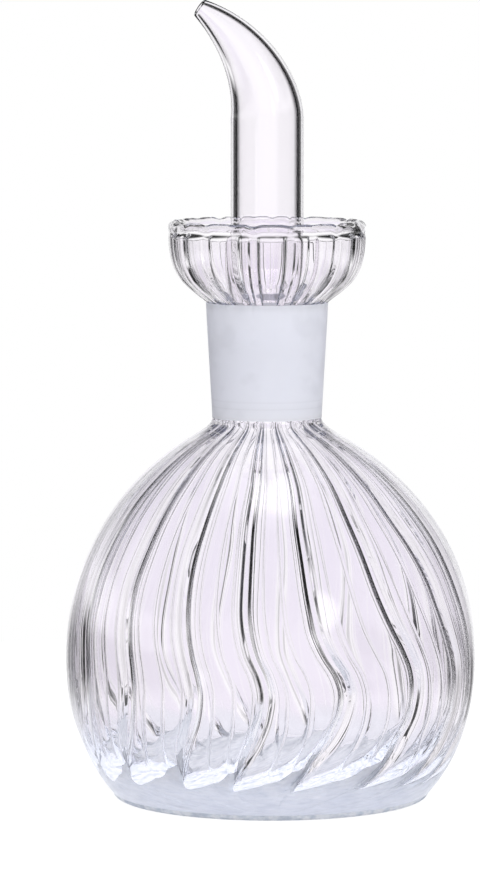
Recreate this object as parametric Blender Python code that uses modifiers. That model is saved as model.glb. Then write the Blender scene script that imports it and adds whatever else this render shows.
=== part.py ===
"""Olive oil dispenser bottle of clear glass, in metres, standing on Z = 0 with +Z up.

A squat blown bulb has swirling optic ribs, with a pocket between each two above a thick heel. A tapered ground socket is fused on top as
the neck, and a ribbed drip cup is fused on top of the socket. The pouring stopper is a hollow ground
cone with a tapered bent spout. The spout pours towards -X.
"""

import math

import bmesh
import bpy
from mathutils import Vector

# Bulb
BULB_DIAMETER = 0.1016
BULB_HEIGHT = 0.0945
WIDEST_HEIGHT = 0.0350
FOOT_DIAMETER = 0.0728
FOOT_CORNER = 0.0014
FOOT_RING_WIDTH = 0.0060
FOOT_HOLLOW = 0.0008
FOOT_HOLLOW_SHARES = (0.5, 0.85)
BULB_WALL = 0.0020
HEEL_WALL = 0.0030
DOME_REACH_SHARE = 1.010
DOME_POWER_SHARE = 0.58
BELLY_POWER_SHARE = 2.2
NECK_BLEND_SHARE = 6.0
DOME_CROWD_SHARE = 1.5
BELLY_CROWD_SHARE = 0.8

# Swirling ribs of the bulb
BULB_RIBS = 18
BULB_RIB_PHASE = math.radians(12.3)
BULB_RIB_HEIGHT = 0.0014
BULB_RELIEF = 0.0004
FORWARD_TURN = math.radians(8.0)
BACKWARD_TURN = math.radians(24.0)
TURN_START_SHARE = 0.64
TURN_PEAK_SHARE = 0.34
BACKWARD_POWER_SHARE = 1.6
RIB_FADE_SHARE = 0.92
RELIEF_FADE_SHARE = 0.85
RELIEF_FOOT_SHARE = 0.5
RIB_FLOOR_SHARE = 0.6

# Pockets between the ribs, where the cavity ends. A pocket's lower edge climbs from the rib on its
# left to the rib on its right. The climbs go with RIB_SAMPLE_SHARES below.
POCKET_LOW = 0.0095
POCKET_HIGH = 0.0225
POCKET_CORNER = 0.0060
POCKET_CLIMB_SHARES = (0.76, 0.13, 0.20, 0.85)
FLOOR_HEIGHT = 0.0070
FLOOR_POWER_SHARE = 3.2

# Ground socket that forms the neck
SOCKET_BORE = 0.0240
SOCKET_LENGTH = 0.0281
SOCKET_FOOT_WALL = 0.0029
SOCKET_MOUTH_WALL = 0.0031
JOINT_TAPER_SHARE = 0.05
SEAM = 0.0003

# Drip cup
CUP_DIAMETER = 0.0489
CUP_HEIGHT = 0.0199
CUP_WALL = 0.0018
CUP_BEAD_WIDTH = 0.0030
CUP_BEAD_HEIGHT = 0.0035
CUP_RIBS = 20
CUP_RIB_PHASE = math.radians(2.7)
CUP_RIB_HEIGHT = 0.0006
CUP_RELIEF = 0.0003
CUP_RIB_FADE = 0.0036
CUP_FLARE_SHARES = (
    (0.0, 0.0), (0.08, 0.04), (0.36, 0.16), (0.63, 0.30),
    (0.81, 0.45), (0.915, 0.60), (0.98, 0.80), (1.0, 1.0))
BEAD_START = math.radians(-11)
BEAD_END = math.radians(223)

# Ground cone of the pouring stopper
CONE_LENGTH = 0.0290
CONE_STAND = 0.0038
CONE_WALL = 0.0017
CONE_SHOULDER_HEIGHT = 0.0019
CONE_FOOT_ROUND = 0.0005
JOINT_CLEARANCE = 0.0003

# Spout tube
TUBE_DIAMETER = 0.0180
TUBE_WALL = 0.0016
TIP_DIAMETER = 0.0049
TIP_WALL = 0.0011
BEND_START_HEIGHT = 0.0454
BEND_LENGTH = 0.0325
BEND_ANGLE = math.radians(56.3)
BEND_POWER_SHARE = 0.774
BEND_MIDDLE_SHARE = 0.5
TAPER_POWER_SHARE = 1.334
CUT_OVERRUN = 0.0020

# Facets
RIB_SAMPLE_SHARES = (0.0, 0.175, 0.5, 0.825)
RIB_SHARPNESS_SHARE = 8
BELLY_ROWS = 7
DOME_ROWS = 13
CAVITY_DOME_ROWS = 11
CAVITY_WALL_ROWS = 4
FLOOR_ROWS = 5
CORNER_ROWS = 2
BEAD_ROWS = 6
SHOULDER_ROWS = 5
TURNED_STEPS = 48
TUBE_SIDE_RESOLUTION = 10
BEND_STEPS = 16
MERGE_DISTANCE = 0.00001
SHARP_ANGLE = math.radians(40)

# Heights and radii that follow
bulb_radius = BULB_DIAMETER / 2
foot_radius = FOOT_DIAMETER / 2
neck_foot_height = BULB_HEIGHT + SEAM
mouth_height = neck_foot_height + SOCKET_LENGTH
mouth_bore_radius = SOCKET_BORE / 2
foot_bore_radius = mouth_bore_radius - JOINT_TAPER_SHARE * SOCKET_LENGTH
neck_foot_radius = foot_bore_radius + SOCKET_FOOT_WALL
neck_mouth_radius = mouth_bore_radius + SOCKET_MOUTH_WALL
cup_foot_height = mouth_height + SEAM
tube_radius = TUBE_DIAMETER / 2
tube_bore_radius = tube_radius - TUBE_WALL
cone_top_height = mouth_height + CONE_STAND
cone_foot_height = cone_top_height - CONE_LENGTH
stopper_seam_height = cone_top_height + CONE_SHOULDER_HEIGHT
tube_foot_height = stopper_seam_height + SEAM


def clear_scene():
    for item in list(bpy.data.objects):
        bpy.data.objects.remove(item, do_unlink=True)


def new_collection(name):
    collection = bpy.data.collections.new(name)
    bpy.context.scene.collection.children.link(collection)
    return collection


def glass(name, colour, roughness):
    material = bpy.data.materials.new(name)
    material.use_nodes = True
    shader = material.node_tree.nodes["Principled BSDF"]
    shader.inputs["Base Color"].default_value = (*colour, 1)
    shader.inputs["Roughness"].default_value = roughness
    shader.inputs["Metallic"].default_value = 0
    shader.inputs["IOR"].default_value = 1.47
    shader.inputs["Transmission Weight"].default_value = 1
    return material


def ease(value, start, end):
    """Smooth step from 0 at start to 1 at end."""
    share = min(max((value - start) / (end - start), 0), 1)
    return share * share * (3 - 2 * share)


def blend_outward(radius_a, radius_b):
    """The larger radius, with a smooth fillet where the two are alike."""
    power = NECK_BLEND_SHARE
    return (radius_a ** power + radius_b ** power) ** (1 / power)


# Profiles of the bulb

def dome_radius(height, widest, reach, neck):
    """Radius above the widest height, rounding into the neck."""
    share = (height - WIDEST_HEIGHT) / reach
    dome = widest * max(1 - share * share, 0) ** DOME_POWER_SHARE
    return blend_outward(dome, neck)


def belly_radius(height):
    """Outer radius below the widest height. It meets the foot at the foot's corner."""
    foot_share = (foot_radius + FOOT_CORNER) / bulb_radius
    reach = WIDEST_HEIGHT / (1 - foot_share ** 2) ** (1 / BELLY_POWER_SHARE)
    share = (WIDEST_HEIGHT - height) / reach
    return bulb_radius * math.sqrt(1 - share ** BELLY_POWER_SHARE)


def cavity_radius(height):
    """Inner radius of the wall, which thickens below the widest height towards the heel."""
    if height > WIDEST_HEIGHT:
        reach = (BULB_HEIGHT - WIDEST_HEIGHT) * DOME_REACH_SHARE - BULB_WALL
        return dome_radius(height, bulb_radius - BULB_WALL, reach, foot_bore_radius)
    share = 1 - height / WIDEST_HEIGHT
    return belly_radius(height) - BULB_WALL - (HEEL_WALL - BULB_WALL) * share * share


def spaced(start, end, count, crowd):
    """Heights from start to end, crowded towards the end when crowd is over 1."""
    return [start + (end - start) * (1 - (1 - step / count) ** crowd) for step in range(count + 1)]


def bulb_outer_profile():
    """Points (radius, height) from the foot's middle up to the neck seam."""
    hollow_radius = foot_radius - FOOT_RING_WIDTH
    points = []
    for share in FOOT_HOLLOW_SHARES:
        points.append((hollow_radius * share, FOOT_HOLLOW * (1 - share * share)))
    points.append((hollow_radius, 0))
    points.append((foot_radius, 0))
    corner_radius = belly_radius(FOOT_CORNER)
    for step in range(1, CORNER_ROWS + 1):
        angle = math.pi / 2 * step / CORNER_ROWS
        points.append((foot_radius + (corner_radius - foot_radius) * math.sin(angle),
                       FOOT_CORNER * (1 - math.cos(angle))))
    for height in spaced(FOOT_CORNER, WIDEST_HEIGHT, BELLY_ROWS, BELLY_CROWD_SHARE)[1:]:
        points.append((belly_radius(height), height))
    reach = (BULB_HEIGHT - WIDEST_HEIGHT) * DOME_REACH_SHARE
    for height in spaced(WIDEST_HEIGHT, BULB_HEIGHT, DOME_ROWS, DOME_CROWD_SHARE)[1:]:
        points.append((dome_radius(height, bulb_radius, reach, neck_foot_radius), height))
    return points


def cavity_profile(climb):
    """Points (radius, height) from the neck seam down the wall, round the pocket's corner and over the
    floor, where the pocket's edge has climbed this share of its way."""
    edge = POCKET_LOW + (POCKET_HIGH - POCKET_LOW) * climb
    edge_radius = cavity_radius(edge)
    heights = spaced(WIDEST_HEIGHT, BULB_HEIGHT, CAVITY_DOME_ROWS, DOME_CROWD_SHARE)[::-1]
    heights += spaced(WIDEST_HEIGHT, edge + POCKET_CORNER, CAVITY_WALL_ROWS, 1)[1:]
    wall = [(cavity_radius(height), height) for height in heights]
    floor = []
    for step in range(FLOOR_ROWS):
        share = (1 - POCKET_CORNER / edge_radius) * (1 - step / FLOOR_ROWS)
        rise = (edge - FLOOR_HEIGHT) * share ** FLOOR_POWER_SHARE
        floor.append((edge_radius * share, FLOOR_HEIGHT + rise))
    start, middle, end = Vector(wall[-1]), Vector((edge_radius, edge)), Vector(floor[0])
    corner = []
    for step in range(1, CORNER_ROWS + 1):
        share = step / (CORNER_ROWS + 1)
        corner.append(tuple(start.lerp(middle, share).lerp(middle.lerp(end, share), share)))
    return wall + corner + floor


def rib_turn(height):
    """How far round a rib has swirled at this height."""
    peak = BULB_HEIGHT * TURN_PEAK_SHARE
    if height > peak:
        return FORWARD_TURN * ease(height, BULB_HEIGHT * TURN_START_SHARE, peak)
    drop = (peak - height) / peak
    return FORWARD_TURN - BACKWARD_TURN * drop ** BACKWARD_POWER_SHARE


def bulb_rib_height(radius, height):
    """Height of a rib inside the wall, which dies out at the neck and at the middle of the floor."""
    at_neck = ease(height, BULB_HEIGHT, BULB_HEIGHT * RIB_FADE_SHARE)
    at_floor = ease(radius, 0, bulb_radius * RIB_FLOOR_SHARE)
    return BULB_RIB_HEIGHT * at_neck * at_floor


def bulb_relief(height):
    """Depth of the flutes on the outside, which die out at the neck and the foot."""
    at_neck = ease(height, BULB_HEIGHT, BULB_HEIGHT * RELIEF_FADE_SHARE)
    at_foot = ease(height, FOOT_CORNER, WIDEST_HEIGHT * RELIEF_FOOT_SHARE)
    return BULB_RELIEF * at_neck * at_foot


# Ribbed shells

def outward_normals(points):
    """Unit vectors (radius, height) out of the glass, for a profile that runs up outside and down inside."""
    normals = []
    last = len(points) - 1
    for index in range(len(points)):
        before = points[max(index - 1, 0)]
        after = points[min(index + 1, last)]
        along = Vector((after[0] - before[0], after[1] - before[1])).normalized()
        normals.append((along.y, -along.x))
    return normals


def rib_pulse(share):
    """Height of a rib across one pitch: 1 on its crest, 0 in the flute."""
    return abs(math.cos(math.pi * share)) ** RIB_SHARPNESS_SHARE


def ribbed_ring(point, normal, ribs, phase, crest, flute):
    """One ring of a shell. It is moved along its outward normal by crest on a rib and flute between."""
    ring = []
    pitch = math.tau / ribs
    for rib in range(ribs):
        for share in RIB_SAMPLE_SHARES:
            angle = phase + (rib + share) * pitch
            pulse = rib_pulse(share)
            push = crest * pulse + flute * (1 - pulse)
            radius = point[0] + normal[0] * push
            height = point[1] + normal[1] * push
            ring.append((radius * math.cos(angle), radius * math.sin(angle), height))
    return ring


def pocketed_rings():
    """The rings of the bulb's cavity. Each sample of a rib's pitch has its own profile."""
    profiles = [cavity_profile(climb) for climb in POCKET_CLIMB_SHARES]
    normals = [outward_normals(profile) for profile in profiles]
    pitch = math.tau / BULB_RIBS
    rings = []
    for row in range(len(profiles[0])):
        ring = []
        for rib in range(BULB_RIBS):
            for share, profile, normal in zip(RIB_SAMPLE_SHARES, profiles, normals):
                radius, height = profile[row]
                push = bulb_rib_height(radius, height) * rib_pulse(share)
                angle = BULB_RIB_PHASE + rib_turn(height) + (rib + share) * pitch
                radius += normal[row][0] * push
                height += normal[row][1] * push
                ring.append((radius * math.cos(angle), radius * math.sin(angle), height))
        rings.append(ring)
    return rings


def loft(name, rings, ends, material, collection):
    """Skin rings in order. With ends it closes on a middle point at each, or else joins last to first."""
    count = len(rings[0])
    mesh = bpy.data.meshes.new(name)
    body = bmesh.new()
    loops = [[body.verts.new(point) for point in ring] for ring in rings]
    pairs = list(zip(loops[:-1], loops[1:]))
    if ends:
        first = body.verts.new(ends[0])
        last = body.verts.new(ends[1])
        for index in range(count):
            after = (index + 1) % count
            body.faces.new((first, loops[0][after], loops[0][index]))
            body.faces.new((last, loops[-1][index], loops[-1][after]))
    else:
        pairs.append((loops[-1], loops[0]))
    for low, high in pairs:
        for index in range(count):
            after = (index + 1) % count
            body.faces.new((low[index], low[after], high[after], high[index]))
    body.to_mesh(mesh)
    body.free()
    return place(name, mesh, material, collection)


def place(name, mesh, material, collection):
    mesh.materials.clear()
    mesh.materials.append(material)
    mesh.shade_smooth()
    mesh.set_sharp_from_angle(angle=SHARP_ANGLE)
    part = bpy.data.objects.new(name, mesh)
    collection.objects.link(part)
    return part


def make_bulb(material, collection):
    rings = []
    outer = bulb_outer_profile()
    for point, normal in zip(outer, outward_normals(outer)):
        phase = BULB_RIB_PHASE + rib_turn(point[1])
        flute = -bulb_relief(point[1])
        rings.append(ribbed_ring(point, normal, BULB_RIBS, phase, 0, flute))
    rings += pocketed_rings()
    ends = ((0, 0, FOOT_HOLLOW), (0, 0, FLOOR_HEIGHT))
    return loft("bottle_bulb", rings, ends, material, collection)


# Drip cup

def cup_outer_profile():
    """From the seam up to the bead, an S curve that flares out of the neck."""
    radius = CUP_DIAMETER / 2
    rise = CUP_HEIGHT - CUP_BEAD_HEIGHT
    return [(neck_mouth_radius + (radius - neck_mouth_radius) * across, cup_foot_height + rise * up)
            for across, up in CUP_FLARE_SHARES]


def cup_bead_profile():
    """The rolled rim, from the outer wall over the top to the inner wall."""
    centre_radius = CUP_DIAMETER / 2 - CUP_BEAD_WIDTH / 2
    centre_height = cup_foot_height + CUP_HEIGHT - CUP_BEAD_HEIGHT / 2
    points = []
    for step in range(BEAD_ROWS + 1):
        angle = BEAD_START + (BEAD_END - BEAD_START) * step / BEAD_ROWS
        points.append((centre_radius + CUP_BEAD_WIDTH / 2 * math.cos(angle),
                       centre_height + CUP_BEAD_HEIGHT / 2 * math.sin(angle)))
    return points


def cup_inner_profile(outer):
    """From under the bead down to the mouth, one wall inside the outer curve."""
    points = []
    for point, normal in zip(outer[::-1], outward_normals(outer)[::-1]):
        points.append((point[0] - normal[0] * CUP_WALL, point[1] - normal[1] * CUP_WALL))
    inner = [point for point in points if point[0] > mouth_bore_radius + CUP_WALL / 2]
    inner.append((mouth_bore_radius, cup_foot_height))
    return inner


def make_cup(material, collection):
    outer = cup_outer_profile()
    bead = cup_bead_profile()
    inner = cup_inner_profile(outer)
    rings = []
    for point, normal in zip(outer, outward_normals(outer)):
        fade = ease(point[1], cup_foot_height, cup_foot_height + CUP_WALL)
        rings.append(ribbed_ring(point, normal, CUP_RIBS, CUP_RIB_PHASE, 0, -CUP_RELIEF * fade))
    for point in bead:
        rings.append(ribbed_ring(point, (0, 0), CUP_RIBS, CUP_RIB_PHASE, 0, 0))
    for point, normal in zip(inner, outward_normals(inner)):
        fade = ease(point[1], cup_foot_height, cup_foot_height + CUP_RIB_FADE)
        rings.append(ribbed_ring(point, normal, CUP_RIBS, CUP_RIB_PHASE, CUP_RIB_HEIGHT * fade, 0))
    return loft("drip_cup", rings, None, material, collection)


# Turned pieces

def turned(name, profile, material, collection):
    """A closed profile at +X, which runs down its outer side, turned about Z."""
    mesh = bpy.data.meshes.new(name)
    count = len(profile)
    points = [(radius, 0, height) for radius, height in profile]
    edges = [(index, (index + 1) % count) for index in range(count)]
    mesh.from_pydata(points, edges, [])
    part = bpy.data.objects.new(name, mesh)
    collection.objects.link(part)
    screw = part.modifiers.new("turn", "SCREW")
    screw.axis = "Z"
    screw.angle = math.tau
    screw.steps = TURNED_STEPS
    screw.render_steps = TURNED_STEPS
    screw.use_merge_vertices = True
    screw.merge_threshold = MERGE_DISTANCE
    screw.use_smooth_shade = True
    mesh.materials.append(material)
    return part


def make_socket(material, collection):
    profile = [
        (neck_mouth_radius, mouth_height),
        (neck_foot_radius, neck_foot_height),
        (foot_bore_radius, neck_foot_height),
        (mouth_bore_radius, mouth_height),
    ]
    return turned("neck_socket", profile, material, collection)


def cone_radius(height):
    """Outer radius of the ground cone, one clearance inside the socket's bore."""
    return mouth_bore_radius - JOINT_CLEARANCE + JOINT_TAPER_SHARE * (height - mouth_height)


def make_cone(material, collection):
    top_radius = cone_radius(cone_top_height)
    foot_inner = cone_radius(cone_foot_height) - CONE_WALL
    top_inner = top_radius - CONE_WALL
    profile = []
    for step in range(SHOULDER_ROWS + 1):
        angle = math.pi / 2 * step / SHOULDER_ROWS
        profile.append((tube_radius + (top_radius - tube_radius) * math.sin(angle),
                        cone_top_height + CONE_SHOULDER_HEIGHT * math.cos(angle)))
    profile.append((cone_radius(cone_foot_height + CONE_FOOT_ROUND), cone_foot_height + CONE_FOOT_ROUND))
    profile.append((cone_radius(cone_foot_height) - CONE_FOOT_ROUND, cone_foot_height))
    profile.append((foot_inner + CONE_FOOT_ROUND, cone_foot_height))
    profile.append((foot_inner, cone_foot_height + CONE_FOOT_ROUND))
    for step in range(SHOULDER_ROWS, -1, -1):
        angle = math.pi / 2 * step / SHOULDER_ROWS
        profile.append((tube_bore_radius + (top_inner - tube_bore_radius) * math.sin(angle),
                        cone_top_height - CONE_WALL + CONE_SHOULDER_HEIGHT * math.cos(angle)))
    profile.append((tube_bore_radius, stopper_seam_height))
    return turned("ground_cone", profile, material, collection)


# Spout

def spout_path(before, beyond):
    """Points along the spout's middle: straight up, then bent over towards -X, less and less sharply."""
    point = Vector((0, 0, mouth_height + BEND_START_HEIGHT))
    points = [Vector((0, 0, tube_foot_height - before)), point]
    for step in range(BEND_STEPS):
        angle = BEND_ANGLE * ((step + BEND_MIDDLE_SHARE) / BEND_STEPS) ** BEND_POWER_SHARE
        point = point + Vector((-math.sin(angle), 0, math.cos(angle))) * (BEND_LENGTH / BEND_STEPS)
        points.append(point)
    if beyond:
        points.append(points[-1] + (points[-1] - points[-2]).normalized() * beyond)
    return points


def taper(share):
    """Share of the way from the tube's size to the tip's size, along the bend."""
    return share ** TAPER_POWER_SHARE


def sweep(name, points, radii, collection):
    """A round bar along the points, made a mesh with its caps welded."""
    curve = bpy.data.curves.new(name, "CURVE")
    curve.dimensions = "3D"
    curve.bevel_depth = tube_radius
    curve.bevel_resolution = TUBE_SIDE_RESOLUTION
    curve.use_fill_caps = True
    spline = curve.splines.new("POLY")
    spline.points.add(len(points) - 1)
    for knot, point, radius in zip(spline.points, points, radii):
        knot.co = (*point, 1)
        knot.radius = radius / tube_radius
    guide = bpy.data.objects.new(name + "_guide", curve)
    collection.objects.link(guide)
    bpy.context.view_layer.update()
    graph = bpy.context.evaluated_depsgraph_get()
    mesh = bpy.data.meshes.new_from_object(guide.evaluated_get(graph))
    bpy.data.objects.remove(guide, do_unlink=True)
    body = bmesh.new()
    body.from_mesh(mesh)
    bmesh.ops.remove_doubles(body, verts=body.verts, dist=MERGE_DISTANCE)
    bmesh.ops.recalc_face_normals(body, faces=body.faces)
    body.to_mesh(mesh)
    body.free()
    return mesh


def make_spout(material, collection, cutters):
    tip_radius = TIP_DIAMETER / 2
    path = spout_path(0, 0)
    shares = [0] + [step / BEND_STEPS for step in range(BEND_STEPS + 1)]
    outer = [tube_radius + (tip_radius - tube_radius) * taper(share) for share in shares]
    tube = place("spout_tube", sweep("spout_tube", path, outer, collection), material, collection)
    walls = [TUBE_WALL + (TIP_WALL - TUBE_WALL) * share for share in shares]
    bores = [radius - wall for radius, wall in zip(outer, walls)]
    bores.append(bores[-1])
    long_path = spout_path(CUT_OVERRUN, CUT_OVERRUN)
    bore = place("spout_bore", sweep("spout_bore", long_path, bores, cutters), material, cutters)
    bore.display_type = "WIRE"
    bore.hide_render = True
    cut = tube.modifiers.new("bore", "BOOLEAN")
    cut.operation = "DIFFERENCE"
    cut.object = bore
    return tube


def main():
    clear_scene()
    bottle = new_collection("oil_dispenser_bottle")
    cutters = new_collection("cutters")
    clear = glass("clear_glass", (0.95, 0.95, 0.98), 0.02)
    ground = glass("ground_glass", (0.88, 0.90, 0.95), 0.55)
    make_bulb(clear, bottle)
    make_socket(ground, bottle)
    make_cup(clear, bottle)
    make_cone(ground, bottle)
    make_spout(clear, bottle, cutters)


main()
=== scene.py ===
import math

import bpy
import numpy as np
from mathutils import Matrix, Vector


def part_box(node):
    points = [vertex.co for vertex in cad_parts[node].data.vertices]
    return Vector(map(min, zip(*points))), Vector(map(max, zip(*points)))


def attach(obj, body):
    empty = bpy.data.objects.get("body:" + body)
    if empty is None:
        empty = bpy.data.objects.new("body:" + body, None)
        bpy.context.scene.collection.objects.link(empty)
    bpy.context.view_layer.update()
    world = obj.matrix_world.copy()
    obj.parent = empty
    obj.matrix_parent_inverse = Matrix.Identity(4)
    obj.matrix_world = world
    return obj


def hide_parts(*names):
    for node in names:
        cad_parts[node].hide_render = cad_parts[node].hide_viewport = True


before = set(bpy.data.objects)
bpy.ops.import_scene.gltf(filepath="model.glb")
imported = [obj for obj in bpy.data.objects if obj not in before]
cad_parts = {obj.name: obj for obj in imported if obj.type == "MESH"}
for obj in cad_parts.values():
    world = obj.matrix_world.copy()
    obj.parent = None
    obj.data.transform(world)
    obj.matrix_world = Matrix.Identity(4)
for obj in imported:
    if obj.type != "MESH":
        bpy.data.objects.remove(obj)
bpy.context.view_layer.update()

# Camera, placed as in the photograph
CAMERA_AZIMUTH = math.radians(-10)
CAMERA_DISTANCE = 1.208
CAMERA_HEIGHT = 0.200
PHOTO_LONG_SIDE_PX = 879
PHOTO_MIDDLE_PX = 240
AXIS_PX = 267
METRES_PER_PX = 0.0002469
AIM_HEIGHT = 0.0889
SENSOR = 36.0

# Places taken from the frame
bulb_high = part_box("bottle_bulb")[1]
socket_low, socket_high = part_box("neck_socket")
cup_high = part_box("drip_cup")[1]
cone_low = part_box("ground_cone")[0]
tube_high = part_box("spout_tube")[1]
BULB_RADIUS = bulb_high.x
BULB_TOP = bulb_high.z
NECK_FOOT = socket_low.z
MOUTH = socket_high.z
NECK_MOUTH_RADIUS = socket_high.x
CUP_RADIUS = cup_high.x
CUP_TOP = cup_high.z
CONE_FOOT = cone_low.z
TUBE_RADIUS = tube_high.x

# Bulb
WIDEST_HEIGHT = 0.0350
FOOT_RADIUS = 0.0364
FOOT_CORNER = 0.0014
FOOT_RING_WIDTH = 0.0060
FOOT_HOLLOW = 0.0008
HOLLOW_INNER_SHARE = 0.1
BULB_WALL = 0.0018
DOME_REACH_SHARE = 1.010
DOME_POWER_SHARE = 0.58
BELLY_POWER_SHARE = 2.2
NECK_BLEND_SHARE = 6.0
BULB_LEAN = 0.0010
LEAN_HEIGHT = 0.0600

# Ground socket of the neck, by radius
MOUTH_BORE = 0.0120
JOINT_TAPER_SHARE = 0.05
NECK_FOOT_WALL = 0.0029
NECK_FOOT_BORE = MOUTH_BORE - JOINT_TAPER_SHARE * (MOUTH - NECK_FOOT)
NECK_FOOT_RADIUS = NECK_FOOT_BORE + NECK_FOOT_WALL

# Swirling ribs of the bulb. Each row is a rib's own shift in degrees, the share of the forward turn
# that it takes, the height where it turns back, and how far the pocket on its right climbs. Rib 0 is
# the first one past +X. A rib with a path of its own, given below, takes neither the shift nor the
# turn from here, but its shift still sets its wobble.
BULB_RIBS = 18
BULB_RIB_PHASE = math.radians(12.3)
FORWARD_TURN = math.radians(8.0)
BACKWARD_TURN = math.radians(24.0)
TURN_START_HEIGHT = 0.0600
BACKWARD_POWER_SHARE = 1.6
RIB_HABITS = (
    (0.8, 0.6, 0.033, 0.5), (-1.2, 0.5, 0.031, 0.4), (0.4, 0.7, 0.034, 0.5), (1.4, 0.5, 0.030, 0.3),
    (-0.7, 0.6, 0.032, 0.4), (-1.5, 0.4, 0.033, 0.5), (0.9, 0.6, 0.031, 0.4), (0.2, 0.7, 0.035, 0.5),
    (-0.9, 0.5, 0.032, 0.7), (1.0, 0.5, 0.031, 0.9), (-1.1, 0.5, 0.030, 1.0), (0.7, 0.6, 0.030, 0.9),
    (0.4, 1.0, 0.031, 1.0), (-2.1, 1.3, 0.033, 1.05), (-1.0, 1.75, 0.036, 1.0), (1.1, 1.5, 0.035, 0.95),
    (2.2, 1.2, 0.034, 1.0), (-0.3, 1.0, 0.032, 0.8))

# Paths of the ribs that face the camera, as degrees from an even spacing at these heights. They come
# from points read along each rib in the photograph and carried through the bend of the glass to
# its inner face. Their ends, part of rib 9 and all of rib 16 are judged.
PATH_HEIGHTS = (
    0.008, 0.012, 0.016, 0.020, 0.025, 0.031, 0.036, 0.041, 0.046, 0.051, 0.057, 0.064, 0.072, 0.080)
RIB_PATHS = {
    9: (-8.0, -5.0, -2.0, 0.2, 1.8, 2.8, 2.5, 1.5, 0.4, 0.0, -0.6, -0.6, -0.2, 0.5),
    10: (-8.5, -5.3, -2.3, 0.4, 2.5, 3.8, 3.4, 2.1, 1.0, 0.4, 0.1, 0.6, 1.2, 2.0),
    11: (-5.0, -2.2, 0.1, 2.2, 4.7, 5.9, 5.1, 3.3, 1.8, 1.0, 0.6, 0.6, 1.4, 2.4),
    12: (-7.4, -3.6, -0.1, 2.8, 5.3, 6.4, 5.2, 2.6, 1.1, 0.2, -0.1, -0.1, 0.4, 1.6),
    13: (-6.2, -2.4, 1.0, 4.9, 7.9, 9.2, 7.7, 4.2, 1.7, 0.5, -0.5, -1.0, -1.1, 0.0),
    14: (0.2, 4.3, 7.4, 9.1, 11.9, 13.1, 12.4, 9.9, 6.9, 4.5, 2.4, 0.9, 0.0, 0.4),
    15: (1.8, 5.4, 8.4, 10.5, 12.3, 12.9, 12.2, 10.4, 8.5, 6.8, 5.3, 3.0, 0.3, 0.0),
    16: (-4.0, -0.5, 2.0, 4.0, 5.4, 6.0, 5.6, 4.6, 3.4, 2.2, 1.2, 0.3, -0.5, -0.5)}
PATH_STEPS = 400
PATH_CURVE_STEPS = 12
RIB_BLEND_SHARES = (0.16, 0.5)
RIB_HEIGHT = 0.00086
RIB_FLANK_SHARES = (0.032, 0.089)
SKIRT_HEIGHT = 0.0005
SKIRT_SHARES = (0.089, 0.215)
COLLAR_HEIGHT = 0.00016
COLLAR_SHARES = (0.112, 0.125)
RIB_SIZE_POWER_SHARE = 0.8
RELIEF = 0.0003
RELIEF_TOP_SHARE = 0.85
WOBBLE = math.radians(0.08)
WOBBLE_LENGTH = 0.023
WOBBLE_PHASE = 9.7

# Fine ridges that split the flute between two ribs into fingers. They grow towards the pockets, and
# are faint where the pocket beside them climbs little.
FINE_RIDGE_HEIGHT = 0.00022
FINE_RIDGE_HALF_WIDTH_SHARE = 0.0100
FINE_RIDGE_SHARES = (0.27, -0.45, -0.18)
FINE_TOP_SHARE = 0.9
FINE_GROWTH_SHARE = 0.4
FINE_GROWTH_HEIGHT = 0.05
FINE_FAINT_SHARE = 0.3
FINE_CLIMB_SHARES = (0.5, 0.7)
FINGER_STRAY_SHARE = 0.5
FINGER_STRAY_SHARES = (0.12, 0.3)
FINGER_STRAY_END_SHARE = 0.6

# Pockets: between two ribs the cavity ends in a pocket, whose lower edge climbs from the rib on its
# left to the rib on its right
POCKET_LOW = 0.0070
POCKET_HIGH = 0.0240
POCKET_CORNER = 0.0035
POCKET_CORNER_GROWTH_SHARE = 0.20
POCKET_FALL_SHARES = (0.06, 0.06)
POCKET_CLIMB_SHARES = ((0.06, 0.0), (0.27, 0.27), (0.55, 0.56), (0.82, 0.86), (0.94, 1.0))
SCALLOP = 0.0011
FLOOR_CENTRE = 0.0075
FLOOR_RIM = 0.0125
FLOOR_POWER_SHARE = 3.0
FLOOR_INNER_SHARE = 0.02
LEDGE_POWER_SHARE = 8.0
HEEL_WALL = 0.0030
WALL_STEP_POWER_SHARE = 0.9

# Columns whose pockets end at the same height, to this many digits, share a profile
EDGE_DIGITS = 7

# Drip cup
CUP_WALL = 0.0018
CUP_RIBS = 20
CUP_RIB_PHASE = math.radians(2.7)
CUP_RIB_SHIFTS = (
    0.3, -0.8, 1.1, -0.4, 0.9, -1.2, 0.5, 0.2, -0.6, 1.0,
    0.4, -0.9, 0.8, 2.7, -2.9, 1.3, -1.7, -1.0, -0.4, -1.8)
CUP_BLEND_SHARES = (0.2, 0.5)
CUP_RIB_HEIGHT = 0.00052
CUP_RIB_FLANK_SHARES = (0.108, 0.200)
CUP_RIB_START = 0.001
CUP_RIM_DIP = 0.0003
CUP_DIP_SHARES = (0.02, 0.3)
CUP_DIP_SWING_SHARE = 0.7
CUP_DIP_TURN = 2.3
CUP_RELIEF = 0.0003
CUP_RELIEF_START = 0.004
CUP_FULL_HEIGHT = 0.002
CUP_BEAD_WIDTH = 0.0030
CUP_BEAD_HEIGHT = 0.0035
CUP_BEAD_DEGREES = (-35, 222)
CUP_FLARE_SHARES = (
    (0.0, 0.0), (0.08, 0.04), (0.36, 0.16), (0.63, 0.30), (0.81, 0.45), (0.915, 0.60), (0.98, 0.80),
    (1.0, 1.0))
CUP_CURVE_STEPS = 6
CUP_INNER_END_SHARE = 0.6
MOUTH_EDGE_WIDTH = 0.0003
MOUTH_EDGE_HEIGHT = 0.0006

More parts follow.
